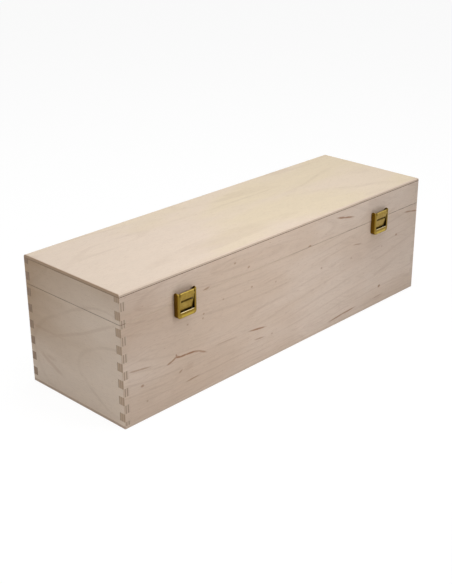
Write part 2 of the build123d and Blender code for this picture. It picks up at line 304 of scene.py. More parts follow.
def streak(points: tuple[tuple[float, float], ...], width: float, depth: float) -> tuple[Mark, ...]:
    """Marks that cover a bent line, one per stretch.

    Args:
        points: (along, across) of the line's corners.
        width: half of the line's width.
        depth: how far it reaches its full colour.

    Returns:
        One mark for each pair of neighbouring corners, reaching a little past both.
    """
    marks = []
    for (along, across), (next_along, next_across) in zip(points, points[1:]):
        reach = 0.72 * math.hypot(next_along - along, next_across - across) + width
        marks.append(Mark((along + next_along) / 2, (across + next_across) / 2, reach, width,
                          (next_across - across) / (next_along - along), depth))
    return tuple(marks)


@dataclass(frozen=True)
class PlywoodFinish:
    """Birch plywood board: veneered faces, and plies that show on every edge."""

    name: str
    slot: Slot
    grain: Axis
    thickness_axis: Axis
    outer: float            # coordinate of one broad face
    thickness: float
    plies: int
    tone: WoodTone
    figure: Figure
    ends: EdgeLook          # edges that cross the grain
    sides: EdgeLook         # edges that run along it
    rim: RimShade
    seed: float
    marks: tuple[Mark, ...] = ()
    face_turn: tuple[float, float] = (0.80, 0.90)   # slant at which the face gives way to the edge

    @property
    def across(self) -> Axis:
        """Axis of the face across its grain."""
        return next(axis for axis in Axis if axis not in (self.grain, self.thickness_axis))

    def scales(self, length: float, width: float) -> tuple[float, float, float]:
        """Mapping scale that makes one lump as long and as wide as given, also through the thickness."""
        scale = [1 / width] * 3
        scale[self.grain.value] = 1 / length
        return tuple(scale)

    def field(self, recipe: Recipe, length: float, width: float, **knobs: Number) -> Socket:
        """Noise stretched along the grain, shifted by the board's own seed."""
        shift = (self.seed, self.seed * 1.7, self.seed * 2.3)
        return recipe.noise(recipe.stretched(recipe.place, self.scales(length, width), shift), **knobs)

    def swing(self, recipe: Recipe, noise: Socket, amount: Number) -> Socket:
        """Noise turned into a change of shade about zero."""
        return recipe.scaled(recipe.math("SUBTRACT", noise, 0.5), amount)

    def ellipse(self, recipe: Recipe, middle: tuple[float, float], halves: tuple[float, float],
                tilt: float = 0.0) -> Socket:
        """Distance from a place on the face, counted in half axes of an ellipse about it.

        Args:
            recipe: the tree to build in.
            middle: the ellipse's middle, along and across the grain.
            halves: its half axes, along and across the grain.
            tilt: its slope against the grain, as a fraction.

        Returns:
            Socket that is 1 on the ellipse.
        """
        place = [0.0, 0.0, 0.0]
        half = [0.0, 0.0, 0.0]
        turn = [0.0, 0.0, 0.0]
        for axis, coordinate, size in zip((self.grain, self.across), middle, halves):
            place[axis.value], half[axis.value] = coordinate, size
        through = self.thickness_axis.value
        place[through], half[through] = self.outer, self.thickness
        turn[through] = math.atan(tilt) * (-1 if self.thickness_axis is Axis.Y else 1)
        knobs = {"Vector": recipe.place, "Location": tuple(place), "Scale": tuple(half), "Rotation": tuple(turn)}
        return recipe.length(recipe.add("ShaderNodeMapping", knobs, vector_type="TEXTURE").outputs[0])

    def mark_mask(self, recipe: Recipe) -> Input:
        """How strongly any of the marks covers a point."""
        ragged = self.swing(recipe, self.field(recipe, 7 * MM, 1.5 * MM, detail=3.0, roughness=0.7), 0.7)
        mask: Input = 0.0
        for mark in self.marks:
            reach = self.ellipse(recipe, (mark.along, mark.across), (mark.length, mark.width), mark.tilt)
            cover = recipe.scaled(recipe.band(recipe.total(reach, ragged), 1.45, 0.45), mark.depth)
            mask = recipe.math("MAXIMUM", mask, cover) if isinstance(mask, Socket) else cover
        return mask

    def base(self, recipe: Recipe) -> Socket:
        """Soft zones of the veneer's two tones."""
        clouds = self.field(recipe, 0.16, 0.06, detail=3.0)
        middle = sum(slope * place for slope, place in zip(self.tone.lean, BOX_MIDDLE))
        cloudy = recipe.scaled(recipe.band(clouds, 0.36, 0.64), self.tone.clouds)
        share = recipe.total(cloudy, recipe.dot(recipe.place, self.tone.lean), self.tone.bias - middle)
        return recipe.mix(recipe.math("ADD", share, 0.0, clamp=True), self.tone.pale, self.tone.warm)

    def rings(self, recipe: Recipe) -> Socket:
        """Share of the ring colour in the growth rings: wide contours, and fine lines along the grain."""
        shape = self.figure
        field = self.field(recipe, shape.length, shape.width, detail=2.5, roughness=0.42, distortion=shape.wander)
        turns = self.swing(recipe, field, shape.rings)
        if shape.eye:
            turns = recipe.total(turns, self.ellipse(recipe, shape.eye, shape.eye_size), -0.75)
        wide = recipe.band(recipe.math("SINE", recipe.scaled(turns, 2 * math.pi)), shape.slim, 1.0)
        strength = recipe.band(self.field(recipe, 0.05, 0.03), 0.35, 0.65)
        share = recipe.scaled(recipe.scaled(wide, recipe.total(0.25, strength)), shape.contrast)
        if not shape.fine:
            return share
        drift = self.field(recipe, 0.07, 0.018, detail=2.0, roughness=0.5, distortion=0.6)
        height = recipe.axes(recipe.place)[self.across.value]
        lines = recipe.total(recipe.scaled(height, 1 / shape.pitch), recipe.scaled(drift, 6.0))
        line = recipe.band(recipe.math("SINE", recipe.scaled(lines, 2 * math.pi)), -0.1, 1.0)
        broken = recipe.band(self.field(recipe, 0.04, 0.010, detail=2.0), 0.36, 0.60)
        return recipe.total(share, recipe.scaled(recipe.scaled(line, broken), shape.fine))

    def face(self, recipe: Recipe) -> Socket:
        """Colour of the veneered faces."""
        shape = self.figure
        fibres = self.field(recipe, 60 * MM, 1.1 * MM, detail=4.0, roughness=0.65)
        bands = self.field(recipe, 0.30, 9 * MM, detail=3.0, roughness=0.6)
        blotches = self.field(recipe, 16 * MM, 7 * MM, detail=4.0, roughness=0.7)
        shade = recipe.total(1.0, self.swing(recipe, fibres, shape.fibres),
                             self.swing(recipe, bands, 0.8 * shape.fibres), self.swing(recipe, blotches, 0.10))
        colour = recipe.mix(1.0, self.base(recipe), shade, "MULTIPLY")
        colour = recipe.mix(self.rings(recipe), colour, self.tone.ring)
        pores = self.field(recipe, 5 * MM, 0.22 * MM, detail=1.0)
        colour = recipe.mix(recipe.scaled(recipe.band(pores, 0.60, 0.76), shape.pores), colour, self.tone.fleck)
        sparse = self.field(recipe, 6 * MM, 1.0 * MM, detail=0.0)
        colour = recipe.mix(recipe.scaled(recipe.band(sparse, 0.80, 0.88), shape.flecks), colour, self.tone.fleck)
        if self.marks:
            colour = recipe.mix(self.mark_mask(recipe), colour, self.tone.fleck)
        return colour

    def edge(self, recipe: Recipe, end_grain: Input) -> Socket:
        """Colour of the cut edges: plies of two shades with thin dark glue lines.

        The plies come from a sine wave through the thickness, positive in the odd plies.

        Args:
            recipe: the tree to build in.
            end_grain: 1 where the cut crosses the face grain, 0 where it runs along it.

        Returns:
            Colour socket.
        """
        depth = recipe.axes(recipe.place)[self.thickness_axis.value]
        turns = math.pi * self.plies / self.thickness
        wave = recipe.math("SINE", recipe.scaled(recipe.math("SUBTRACT", depth, self.outer), turns))
        odd = recipe.band(wave, -0.3, 0.3)
        looks = [recipe.mix(odd, look.even, look.odd) for look in (self.sides, self.ends)]
        rough = self.field(recipe, 0.9 * MM, 0.9 * MM, detail=3.0, roughness=0.7)
        glue = recipe.band(recipe.math("ABSOLUTE", wave), 0.25, 0.0)
        shade = recipe.total(1.0, self.swing(recipe, rough, 0.25), recipe.scaled(glue, -0.10))
        colour = recipe.mix(1.0, recipe.mix(end_grain, *looks), shade, "MULTIPLY")
        above = recipe.math("ABSOLUTE", recipe.math("SUBTRACT", depth, self.outer + self.thickness))
        seams = [recipe.scaled(recipe.band(above, 0.65 * MM, 0.45 * MM), look.seam) for look in (self.sides, self.ends)]
        at_end = recipe.scaled(recipe.math("SUBTRACT", seams[1], seams[0]), end_grain)
        return recipe.mix(recipe.total(seams[0], at_end), colour, GLUE_AND_GROOVE_SHADE)

    def painted_bevel_shade(self, recipe: Recipe) -> Socket:
        """Share of painted shade on the narrow bevels that lean up or down."""
        lean = recipe.axes(recipe.normal)[Axis.Z.value]
        down = recipe.scaled(recipe.band(lean, -0.35, -0.55), recipe.band(lean, -0.95, -0.85))
        up = recipe.scaled(recipe.band(lean, 0.35, 0.55), recipe.band(lean, 0.95, 0.85))
        broken = recipe.band(self.field(recipe, 22 * MM, 9 * MM, detail=3.0), 0.42, 0.60)
        grown = recipe.band(recipe.axes(recipe.place)[Axis.X.value], *self.rim.grow)
        strength = recipe.scaled(recipe.total(1.0 - self.rim.patchy, recipe.scaled(broken, self.rim.patchy)), grown)
        return recipe.scaled(recipe.total(recipe.scaled(down, self.rim.down), recipe.scaled(up, self.rim.up)), strength)

    def material(self) -> bpy.types.Material:
        """Build the finish.

        Returns:
            Material with the veneer on the broad faces and the plies on the edges.
        """
        recipe = Recipe(self.name)
        directions = [recipe.math("ABSOLUTE", part) for part in recipe.axes(recipe.normal)]
        on_face = recipe.band(directions[self.thickness_axis.value], *self.face_turn)
        end_grain = recipe.band(directions[self.grain.value], 0.40, 0.60)
        colour = recipe.mix(on_face, self.edge(recipe, end_grain), self.face(recipe))
        fine = self.field(recipe, 12 * MM, 0.35 * MM, detail=3.0, roughness=0.6)
        knobs = {
            # painted shade on the bevels of the parting line and the foot
            "Base Color": recipe.mix(self.painted_bevel_shade(recipe), colour, GLUE_AND_GROOVE_SHADE),
            "Roughness": recipe.total(0.52, recipe.scaled(fine, 0.16)),
            "Specular IOR Level": 0.35,
            "Normal": recipe.bump(fine, 0.05 * MM, 0.35),
        }
        return recipe.finish(recipe.add("ShaderNodeBsdfPrincipled", knobs).outputs[0])


# ------------------------------------------------------------------------ brass

@dataclass(frozen=True)
class PaintedLightBand:
    """Band of heights on the front of the latch flaps, painted brighter or darker: painted highlights and painted shade
    on the curved sheet, and darker rails.
    """

    middle: float
    half: float             # half of its height
    colour: Colour
    share: float = 1.0
    inner: float = -1 * MM      # nearest to the middle of a latch that it reaches
    outer: float = 8.6 * MM     # and farthest from it


@dataclass(frozen=True)
class BrassFinish:
    """Yellow brass-plated sheet, duller towards its cheeks by painted shade, with faint smudges and brushing."""

    name: str
    slot: Slot
    bright: Colour = srgb(158, 132, 61)
    deep: Colour = srgb(141, 114, 46)
    painted_cheek_shade: Colour = srgb(92, 70, 16)
    gloss: float = 0.22
    painted_light: tuple[PaintedLightBand, ...] = ()

    def with_painted_light(self, recipe: Recipe, sheet: Socket) -> Socket:
        """Colour of the sheet with its bands of painted light and shade.

        Args:
            recipe: the tree to build in.
            sheet: colour of the plain sheet.

        Returns:
            Colour socket.
        """
        along, _, height = recipe.axes(recipe.place)
        aside = recipe.math("ABSOLUTE", recipe.math("SUBTRACT", recipe.math("ABSOLUTE", along), LATCH_MIDDLE))
        front = recipe.band(recipe.axes(recipe.normal)[Axis.Y.value], -0.15, -0.55)
        for band in self.painted_light:
            away = recipe.math("ABSOLUTE", recipe.math("SUBTRACT", height, band.middle))
            across = recipe.scaled(recipe.band(aside, band.inner - 0.4 * MM, band.inner + 0.4 * MM),
                                   recipe.band(aside, band.outer, band.outer - 1.5 * MM))
            cover = recipe.scaled(recipe.scaled(recipe.band(away, band.half, 0.4 * band.half), across), front)
            sheet = recipe.mix(recipe.scaled(cover, band.share), sheet, band.colour)
        return sheet

    def material(self) -> bpy.types.Material:
        """Build the finish.

        Returns:
            Metal material with noise in its colour, roughness and bump.
        """
        recipe = Recipe(self.name)
        smudges = recipe.noise(recipe.stretched(recipe.place, (320.0, 320.0, 320.0)), detail=5.0, roughness=0.65)
        scratches = recipe.noise(recipe.stretched(recipe.place, (900.0, 9000.0, 14000.0)), detail=2.0)
        sheet = self.with_painted_light(recipe, recipe.mix(recipe.band(smudges, 0.35, 0.65), self.bright, self.deep))
        # Painted shade: faces that look along X take the darker cheek colour.
        sideways = recipe.math("ABSOLUTE", recipe.axes(recipe.normal)[Axis.X.value])
        knobs = {
            "Base Color": recipe.mix(recipe.band(sideways, 0.45, 0.95), sheet, self.painted_cheek_shade),
            "Metallic": 1.0,
            "Roughness": recipe.total(self.gloss, recipe.scaled(smudges, 0.10), recipe.scaled(scratches, 0.06)),
            "Normal": recipe.bump(recipe.total(smudges, recipe.scaled(scratches, 0.3)), 0.02 * MM, 0.12),
        }
        return recipe.finish(recipe.add("ShaderNodeBsdfPrincipled", knobs).outputs[0])


# --------------------------------------------------------------------- boards

FACE_PINK = WoodTone(pale=srgb(227, 208, 192), warm=srgb(217, 194, 174), ring=srgb(158, 120, 94),
                     clouds=0.8, lean=(-1.3, 0.0, 0.0))
# The end boards' lean is painted shade: they turn warmer and darker towards the back and the top.
END_GREY = WoodTone(pale=srgb(231, 212, 193), warm=srgb(192, 164, 135), clouds=0.45, bias=-0.05,
                    lean=(0.0, 6.5, 9.0))
TOP_CREAM = WoodTone(pale=srgb(230, 212, 194), warm=srgb(229, 212, 185), lean=(2.3, 0.0, 0.0))
LONG_ENDS = EdgeLook(odd=srgb(182, 155, 130), even=srgb(200, 174, 150))      # fingers seen on the ends
SHORT_ENDS = EdgeLook(odd=srgb(213, 191, 171), even=srgb(174, 150, 130))     # fingers seen on the front
BOARD_SIDES = EdgeLook(odd=srgb(222, 201, 181), even=srgb(190, 168, 148))    # rims under the lid
BACK_ENDS = EdgeLook(odd=srgb(152, 126, 104), even=srgb(172, 146, 125))      # fingers of the far left corner
FAR_ENDS = EdgeLook(odd=srgb(222, 203, 186), even=srgb(212, 191, 173))       # fingers of the right corner
PANEL_ENDS = EdgeLook(odd=srgb(170, 143, 117), even=srgb(180, 154, 130), seam=0.30)     # thin board seen on the ends
PANEL_SIDES = EdgeLook(odd=srgb(226, 206, 188), even=srgb(206, 184, 164), seam=1.0)    # and on the front
BASE_ENDS = EdgeLook(odd=srgb(206, 182, 162), even=srgb(196, 172, 152))      # board under the box, on the ends
BASE_SIDES = EdgeLook(odd=srgb(222, 202, 184), even=srgb(212, 190, 170))     # and on the front


@dataclass
class Boards:
    """Walls, rails and panels of the box and its lid, dressed as birch plywood."""

    plies: int = 5
    panel_plies: int = 3
    panel_turn: tuple[float, float] = (0.975, 0.999)
    long_figure: Figure = Figure(length=0.55, width=0.09, rings=10.0, contrast=0.11, slim=0.7, fine=0.08, flecks=0.25,
                                 eye=(-0.085, 0.118), eye_size=(55 * MM, 9 * MM))
    end_figure: Figure = Figure(length=0.12, width=0.07, rings=0.9, contrast=0.11, slim=0.93, wander=0.5, fibres=0.06,
                                flecks=0.08, eye=(-0.062, 0.039), eye_size=(60 * MM, 32 * MM))
    top_figure: Figure = Figure(length=0.40, width=0.09, rings=7.0, contrast=0.08, slim=0.75, fibres=0.055, flecks=0.12)
    # Painted shade on the bevels: a dark line along the parting lines, patchy on the front, and a painted contact
    # shadow along the foot.
    front_rim: RimShade = RimShade(down=0.95, up=0.85, patchy=0.5, grow=(-0.11, 0.15))
    end_rim: RimShade = RimShade(down=0.70, up=0.60)
    top_rim: RimShade = RimShade(down=0.25)
    base_rim: RimShade = RimShade(down=0.80)
    front_marks: tuple[Mark, ...] = (
        *streak(((-0.1617, 0.0443), (-0.1577, 0.0454), (-0.1521, 0.0478)), 0.9 * MM, 0.70),
        *streak(((-0.1521, 0.0474), (-0.1468, 0.0462), (-0.1404, 0.0460), (-0.1292, 0.0450)), 0.95 * MM, 0.85),
        *streak(((-0.1292, 0.0448), (-0.1242, 0.0437), (-0.1165, 0.0400)), 1.0 * MM, 0.55),
        Mark(-0.1370, 0.0320, 6.0 * MM, 3.0 * MM, 0.20, 0.16),
        Mark(-0.1521, 0.0492, 0.9 * MM, 1.4 * MM, 0.0, 0.7),
        *streak(((-0.2050, 0.0532), (-0.1953, 0.0518), (-0.1864, 0.0505)), 0.8 * MM, 0.5),
        Mark(-0.1470, 0.0315, 2.6 * MM, 1.0 * MM, 0.50, 0.5),
        Mark(-0.1320, 0.0184, 9.0 * MM, 0.7 * MM, 0.05, 0.55),
        Mark(-0.1932, 0.0349, 2.0 * MM, 1.3 * MM, 0.0, 0.6),
        Mark(-0.1882, 0.0177, 1.2 * MM, 0.9 * MM, 0.0, 0.4),
        Mark(-0.0450, 0.0378, 11.5 * MM, 0.9 * MM, -0.13, 0.8),
        Mark(-0.0415, 0.0266, 6.5 * MM, 0.8 * MM, -0.10, 0.5),
        Mark(-0.0885, 0.0405, 14.0 * MM, 0.6 * MM, -0.04, 0.35),
        *streak(((0.0715, 0.0072), (0.0885, 0.0085), (0.1053, 0.0092)), 0.9 * MM, 0.7),
        Mark(0.1093, 0.0815, 7.0 * MM, 0.8 * MM, -0.17, 0.5),
        Mark(0.1515, 0.0207, 2.2 * MM, 1.5 * MM, 0.4, 0.7),
        Mark(0.1529, 0.0670, 1.2 * MM, 1.0 * MM, 0.0, 0.4),
        Mark(0.1783, 0.0733, 1.8 * MM, 1.4 * MM, 0.0, 0.6),
        *streak(((0.1945, 0.0950), (0.2040, 0.0936), (0.2140, 0.0918)), 0.9 * MM, 0.65),
        Mark(-0.1169, 0.0786, 1.2 * MM, 0.9 * MM, 0.0, 0.5),
        Mark(-0.1179, 0.0745, 1.1 * MM, 0.9 * MM, 0.0, 0.5),
        Mark(-0.1372, 0.0749, 1.2 * MM, 0.9 * MM, 0.0, 0.4),
        Mark(-0.0528, 0.0848, 1.4 * MM, 1.0 * MM, 0.0, 0.5),
        Mark(0.0509, 0.0724, 1.3 * MM, 1.0 * MM, 0.0, 0.5),
        Mark(-0.0188, 0.0794, 1.2 * MM, 0.9 * MM, 0.0, 0.4),
        Mark(-0.0913, 0.0847, 1.2 * MM, 0.9 * MM, 0.0, 0.4),
        Mark(0.0996, 0.0689, 1.3 * MM, 0.9 * MM, 0.0, 0.4),
        Mark(-0.0234, 0.0253, 1.3 * MM, 0.9 * MM, 0.0, 0.4),
        Mark(0.1490, 0.0090, 9.0 * MM, 0.7 * MM, 0.05, 0.35),
        Mark(-0.1900, 0.0850, 45.0 * MM, 24.0 * MM, 0.0, 0.08),
        Mark(0.1600, 0.0700, 60.0 * MM, 28.0 * MM, 0.0, 0.08),
    )
    lid_front_marks: tuple[Mark, ...] = (
        *streak(((0.0770, 0.1192), (0.0860, 0.1172), (0.0965, 0.1152)), 1.0 * MM, 0.75),
        Mark(-0.2000, 0.1150, 34.0 * MM, 13.0 * MM, 0.0, 0.12),
        Mark(-0.1130, 0.1022, 4.0 * MM, 1.1 * MM, 0.2, 0.5),
        Mark(-0.0572, 0.1063, 1.8 * MM, 1.0 * MM, 0.3, 0.55),
        Mark(-0.0757, 0.1157, 1.6 * MM, 1.0 * MM, 0.0, 0.5),
        Mark(0.0316, 0.1016, 2.4 * MM, 0.9 * MM, 0.0, 0.7),
    )
    end_marks: tuple[Mark, ...] = (
        *streak(((0.0640, 0.0610), (0.0240, 0.0610), (-0.0160, 0.0770), (-0.0520, 0.0950)), 1.6 * MM, 0.14),
        *streak(((0.0460, 0.0330), (0.0380, 0.0290), (0.0250, 0.0235)), 2.2 * MM, 0.20),
        Mark(0.0360, 0.0345, 8.0 * MM, 2.2 * MM, 0.10, 0.14),
    )

    def finish(self, node: str, thickness_axis: Axis, seed: float, tone: WoodTone, figure: Figure, rim: RimShade,
               marks: tuple[Mark, ...] = (), edges: tuple[EdgeLook, EdgeLook] | None = None) -> PlywoodFinish:
        """Finish of one board, fitted to where its node lies.

        Args:
            node: CAD node of the board.
            thickness_axis: axis through the board.
            seed: shift of the pattern, its own for each veneer.
            tone: colours of the veneer.
            figure: its growth rings.
            rim: painted shade on its bevels.
            marks: streaks on its outer face.
            edges: looks of the edges across and along the grain, where they aren't its kind's own.

        Returns:
            The finish.
        """
        low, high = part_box(node)
        axis = thickness_axis.value
        middle = BOX_MIDDLE[axis]
        outside, inside = sorted((low[axis], high[axis]), key=lambda side: -abs(side - middle))
        panel = thickness_axis is Axis.Z
        along_y = thickness_axis is Axis.X
        board_edges = (SHORT_ENDS if along_y else LONG_ENDS, BOARD_SIDES)
        ends, sides = edges or ((PANEL_ENDS, PANEL_SIDES) if panel else board_edges)
        return PlywoodFinish(
            name=node + "_birch", slot=Slot.PANEL if panel else Slot.BOARD,
            grain=Axis.Y if along_y else Axis.X, thickness_axis=thickness_axis,
            outer=outside, thickness=inside - outside, plies=self.panel_plies if panel else self.plies,
            tone=tone, figure=figure, ends=ends, sides=sides, rim=rim, seed=seed, marks=marks,
            face_turn=self.panel_turn if panel else PlywoodFinish.face_turn)

    def build(self) -> int:
        """Dress every board.

        Returns:
            Number of boards dressed.
        """
        long_look = (FACE_PINK, self.long_figure, self.front_rim)
        end_look = (END_GREY, self.end_figure, self.end_rim)
        finishes = (
            self.finish("front_wall", Axis.Y, 3.1, *long_look, self.front_marks),
            self.finish("lid_front_rail", Axis.Y, 3.1, *long_look, self.lid_front_marks),
            self.finish("back_wall", Axis.Y, 11.9, *long_look, edges=(BACK_ENDS, BOARD_SIDES)),
            self.finish("lid_back_rail", Axis.Y, 11.9, *long_look, edges=(BACK_ENDS, BOARD_SIDES)),
            self.finish("left_end_wall", Axis.X, 4.6, *end_look, self.end_marks),
            self.finish("lid_left_rail", Axis.X, 4.6, *end_look),
            self.finish("right_end_wall", Axis.X, 8.8, *end_look, edges=(FAR_ENDS, BOARD_SIDES)),
            self.finish("lid_right_rail", Axis.X, 8.8, *end_look, edges=(FAR_ENDS, BOARD_SIDES)),
            self.finish("lid_top_panel", Axis.Z, 21.3, TOP_CREAM, self.top_figure, self.top_rim),
            self.finish("bottom_panel", Axis.Z, 25.7, END_GREY, self.top_figure, self.base_rim,
                        edges=(BASE_ENDS, BASE_SIDES)),
        )
        for finish in finishes:
            dress(finish.name.removesuffix("_birch"), finish.material())
        return len(finishes)


def dress(node: str, material: bpy.types.Material) -> None:
    """Give a carried-over CAD node its finish.

    Args:
        node: name of the CAD node.
        material: its new material.
    """
    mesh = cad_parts[node].data
    mesh.materials.clear()
    mesh.materials.append(material)
    log.info("dressed %s with %s", node, material.name)


class Side(Enum):
    """Long side of the box, by the direction in which it looks along Y."""

    FRONT = -1
    BACK = 1


@dataclass(frozen=True)
class CrossScrews:
    """Countersunk screws with cross recesses, in place of one plain group of the CAD model."""

    node: str               # CAD group that they stand for
    body: str
    side: Side
    centre: float           # middle of each plate from the middle of the box
    reach: float            # of a screw from its plate's middle
    height: float
    face: float             # plates' outer face from the middle of the box
    plate: float            # thickness of a plate
    head: float = 1.52 * MM     # radius
    shank: float = 0.78 * MM    # radius over the thread
    depth: float = 5.15 * MM    # shank behind the plate
    pitch: float = 0.9 * MM
    thread: float = 0.16 * MM   # depth of the thread
    arm: float = 0.98 * MM      # half length of the cross
    slot: float = 0.20 * MM     # half width of its arms
    recess: float = 0.42 * MM   # depth of the cross
    soft: float = 0.10 * MM     # width of the recess's slopes
    turns: int = 48
    twists: tuple[float, ...] = (0.30, 1.10, 0.75, 0.10)    # each cross is left at its own angle

    def rows(self) -> tuple[np.ndarray, np.ndarray, np.ndarray]:
        """Profile of a screw: radius, height and share of thread of each row, from the middle to the tip."""
        top = np.linspace(0.10 * MM, self.head - 0.06 * MM, 13)
        thread = np.linspace(-self.plate - 0.3 * MM, -self.plate - self.depth + 0.9 * MM, 26)
        radii = np.concatenate((top, [self.head, self.head - 0.03 * MM, self.shank + 0.02 * MM],
                                np.full(thread.size, self.shank), [0.12 * MM]))
        heights = np.concatenate((np.zeros(top.size), [-0.04 * MM, -0.10 * MM, -self.plate],
                                  thread, [-self.plate - self.depth + 0.1 * MM]))
        threaded = np.zeros(radii.size)
        threaded[-thread.size - 1:-1] = 1.0
        return radii, heights, threaded

    def surface(self) -> tuple[np.ndarray, list[tuple[int, ...]]]:
        """One screw about its own axis, its head's top at zero.

        A point at angle t on a row of radius r and height h lies at (r cos t, r sin t, h). In the head,
        h sinks by the recess where the point is inside an arm of the cross, with a ramp as wide as the
        slopes. Along the thread, r shrinks by the thread's depth times (1 + cos(2 pi h / pitch - t)) / 2.

        Returns:
            Points (sideways, up, outwards) and faces.
        """
        radii, heights, threaded = (values[:, None] for values in self.rows())
        angles = np.arange(self.turns) * 2 * np.pi / self.turns
        helix = (1 + np.cos(2 * np.pi * heights / self.pitch - angles)) / 2
        radius = radii - self.thread * threaded * helix
        sideways, up = radius * np.cos(angles), radius * np.sin(angles)
        across = np.minimum(np.abs(sideways), np.abs(up))
        in_arm = np.clip((self.slot - across) / self.soft, 0, 1) * np.clip((self.arm - radius) / self.soft, 0, 1)
        outwards = heights - self.recess * in_arm * (heights == 0)
        grid = np.stack((sideways, up, outwards), axis=-1).reshape(-1, 3)
        tips = [[0, 0, -self.recess], [0, 0, -self.plate - self.depth]]
        points = np.concatenate((grid, tips))
        first = np.arange(radii.size - 1)[:, None] * self.turns
        step = np.arange(self.turns)
        following = (step + 1) % self.turns
        quads = np.stack((first + step, first + self.turns + step, first + self.turns + following,
                          first + following), axis=-1).reshape(-1, 4)
        last = (radii.size - 1) * self.turns
        middle = np.stack((np.full(self.turns, grid.shape[0]), step, following), axis=-1)
        tip = np.stack((np.full(self.turns, grid.shape[0] + 1), last + following, last + step), axis=-1)
        return points, quads.tolist() + middle.tolist() + tip.tolist()

    def build(self, material: bpy.types.Material) -> bpy.types.Object:
        """Set the four screws in their plates.

        Args:
            material: their finish.

        Returns:
            The finished piece.
        """
        points, faces = self.surface()
        outward = self.side.value
        places = [(box_side * self.centre + plate_side * self.reach) for box_side in (-1, 1) for plate_side in (-1, 1)]
        everything, all_faces = [], []
        for number, (place, twist) in enumerate(zip(places, self.twists)):
            sideways = points[:, 0] * math.cos(twist) - points[:, 1] * math.sin(twist)
            up = points[:, 0] * math.sin(twist) + points[:, 1] * math.cos(twist)
            everything.append(np.stack((place - outward * sideways, outward * (self.face + points[:, 2]),
                                        self.height + up), axis=-1))
            all_faces += [[corner + number * len(points) for corner in face] for face in faces]
        mesh = bpy.data.meshes.new("crossed_" + self.node)
        mesh.from_pydata(np.concatenate(everything).tolist(), [], all_faces)
        mesh.shade_smooth()
        mesh.materials.append(material)
        piece = bpy.data.objects.new(mesh.name, mesh)
        bpy.context.scene.collection.objects.link(piece)
        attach(piece, self.body)
        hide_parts(self.node)
        log.info("%s stands for %s", piece.name, self.node)
        return piece


@dataclass
class Hardware:
    """Hinges, latches and their fixings, dressed as plated brass."""

    # Painted light on the latch flaps: painted shade on the cheeks, and bands of darker rails beside the window,
    # painted shade above the lip's bulge, a painted highlight on the bulge, a painted glint on the lip's edge under the
    # slot and a painted highlight along the panel's top.
    latch: BrassFinish = BrassFinish("latch_plating", Slot.LATCH, painted_cheek_shade=srgb(118, 90, 24), painted_light=(
        PaintedLightBand(0.0990, 14 * MM, srgb(131, 105, 40), 0.8, inner=9.0 * MM, outer=14 * MM),
        PaintedLightBand(0.0909, 1.0 * MM, srgb(120, 92, 24), 0.7, outer=10.0 * MM),
        PaintedLightBand(0.0885, 1.5 * MM, srgb(196, 170, 72), 0.60, outer=8.0 * MM),
        PaintedLightBand(0.0922, 0.4 * MM, srgb(240, 226, 184), 0.8),
        PaintedLightBand(0.1104, 0.7 * MM, srgb(206, 180, 96), 0.6)))
    # Painted shade: a darker, duller copy of the plating for the brackets and catch plates under the flaps.
    inner: BrassFinish = BrassFinish("shaded_inner_plating", Slot.LATCH, bright=srgb(112, 90, 34), deep=srgb(84, 66, 22),
                                     painted_cheek_shade=srgb(70, 54, 16), gloss=0.40)
    hinge: BrassFinish = BrassFinish("hinge_plating", Slot.HINGE)
    fixing: BrassFinish = BrassFinish("fixing_plating", Slot.FIXING)
    sides: tuple[str, ...] = ("left", "right")
    screws: tuple[CrossScrews, ...] = (
        CrossScrews("catch_plate_screws", "box_body", Side.FRONT, LATCH_MIDDLE, 5.5 * MM, 0.0935, 0.0667, 0.7 * MM),
        CrossScrews("latch_bracket_screws", "lid", Side.FRONT, LATCH_MIDDLE, 5.5 * MM, 0.1053, 0.0667, 0.7 * MM),
        CrossScrews("hinge_body_screws", "box_body", Side.BACK, 0.140, 7.5 * MM, 0.0948, 0.0668, 0.8 * MM),
        CrossScrews("hinge_lid_screws", "lid", Side.BACK, 0.140, 7.5 * MM, 0.1072, 0.0668, 0.8 * MM),
    )

    def build(self) -> int:
        """Dress every metal node and set the detailed screws in place of the plain ones.

        Returns:
            Number of nodes dressed.
        """
        finishes = (self.latch, self.inner, self.hinge, self.fixing)
        latch, inner, hinge, fixing = (finish.material() for finish in finishes)
        made = 0
        for side in self.sides:
            # brackets and catch plates get the painted-shade copy of the plating
            for part, material in (("latch_flap", latch), ("latch_bracket", inner), ("catch_plate", inner),
                                   ("hinge_body_leaf", hinge), ("hinge_lid_leaf", hinge),
                                   ("hinge_pin", fixing), ("latch_pin", fixing)):
                dress(f"{side}_{part}", material)
                made += 1
        for group in self.screws:
            dress(group.node, fixing)
            group.build(fixing)
            made += 1
        return made


# ----------------------------------------------------------------------- studio

@dataclass(frozen=True)
class SoftBox:
    """Square area lamp."""

    name: str
    place: Colour
    aim: Colour
    side: float
    power: float

    def build(self) -> bpy.types.Object:
        """Add the lamp to the scene."""
        data = bpy.data.lights.new(self.name, "AREA")
        data.size = self.side
        data.energy = self.power
        lamp = bpy.data.objects.new(self.name, data)
        lamp.location = self.place
        lamp.rotation_euler = (Vector(self.aim) - Vector(self.place)).to_track_quat("-Z", "Y").to_euler()
        lamp.visible_camera = False
        bpy.context.scene.collection.objects.link(lamp)
        return lamp


